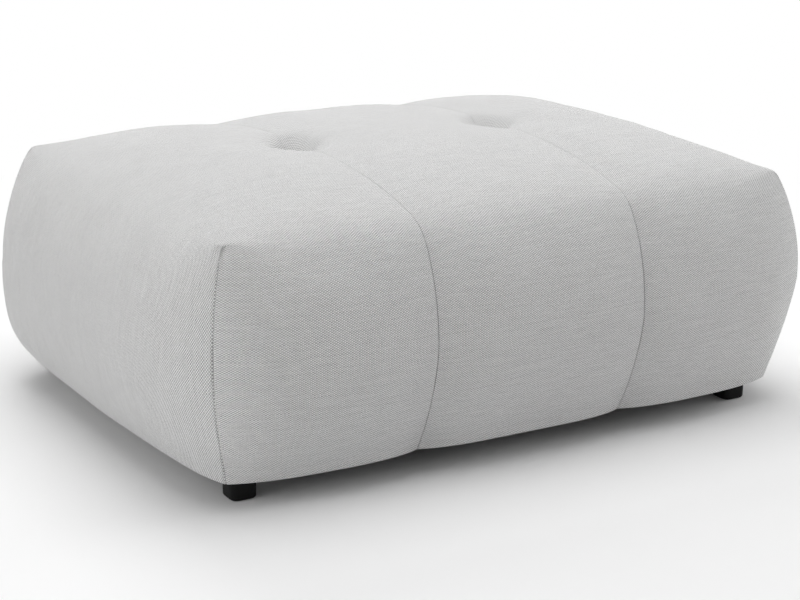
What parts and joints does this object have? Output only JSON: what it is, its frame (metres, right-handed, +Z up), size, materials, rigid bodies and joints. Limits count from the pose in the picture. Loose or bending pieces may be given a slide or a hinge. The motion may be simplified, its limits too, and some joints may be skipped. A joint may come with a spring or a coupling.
{
  "type": "upholstered footstool",
  "caption": "Large rectangular tufted footstool with pillow lobes in light grey woven fabric on low square black feet.",
  "frame": {"origin": "on the floor under the middle of the footstool", "axes": "+X along the length, +Z up, the pictured long side faces -Y"},
  "size_m": [1.102, 0.868, 0.419],
  "materials": {
    "cover_fabric": "matt woven twill",
    "fibre": "soft fibre",
    "foam": "cut foam",
    "plywood": "sanded",
    "hardboard": "pressed board",
    "pine": "planed",
    "beech": "turned",
    "screw_steel": "zinc plated",
    "twine": "waxed",
    "washer_plastic": "moulded",
    "dust_cloth": "nonwoven",
    "foot_plastic": "moulded satin"
  },
  "bodies": {
    "root": {"left_cover": "cover_fabric", "centre_cover": "cover_fabric", "right_cover": "cover_fabric", "left_filling": "fibre", "centre_filling": "fibre", "right_filling": "fibre", "seat_foam": "foam", "deck": "plywood", "front_panel": "hardboard", "rear_panel": "hardboard", "left_panel": "hardboard", "right_panel": "hardboard", "front_left_post": "pine", "front_right_post": "pine", "rear_left_post": "pine", "rear_right_post": "pine", "front_bottom_rail": "pine", "rear_bottom_rail": "pine", "left_bottom_rail": "pine", "right_bottom_rail": "pine", "front_top_rail": "pine", "rear_top_rail": "pine", "left_top_rail": "pine", "right_top_rail": "pine", "deck_bearer": "pine", "dowels": "beech", "deck_screws": "screw_steel", "foot_screws": "screw_steel", "left_twine": "twine", "right_twine": "twine", "left_washer": "washer_plastic", "right_washer": "washer_plastic", "dust_cover": "dust_cloth", "front_left_foot": "foot_plastic", "front_right_foot": "foot_plastic", "rear_left_foot": "foot_plastic", "rear_right_foot": "foot_plastic"}
  },
  "joints": []
}
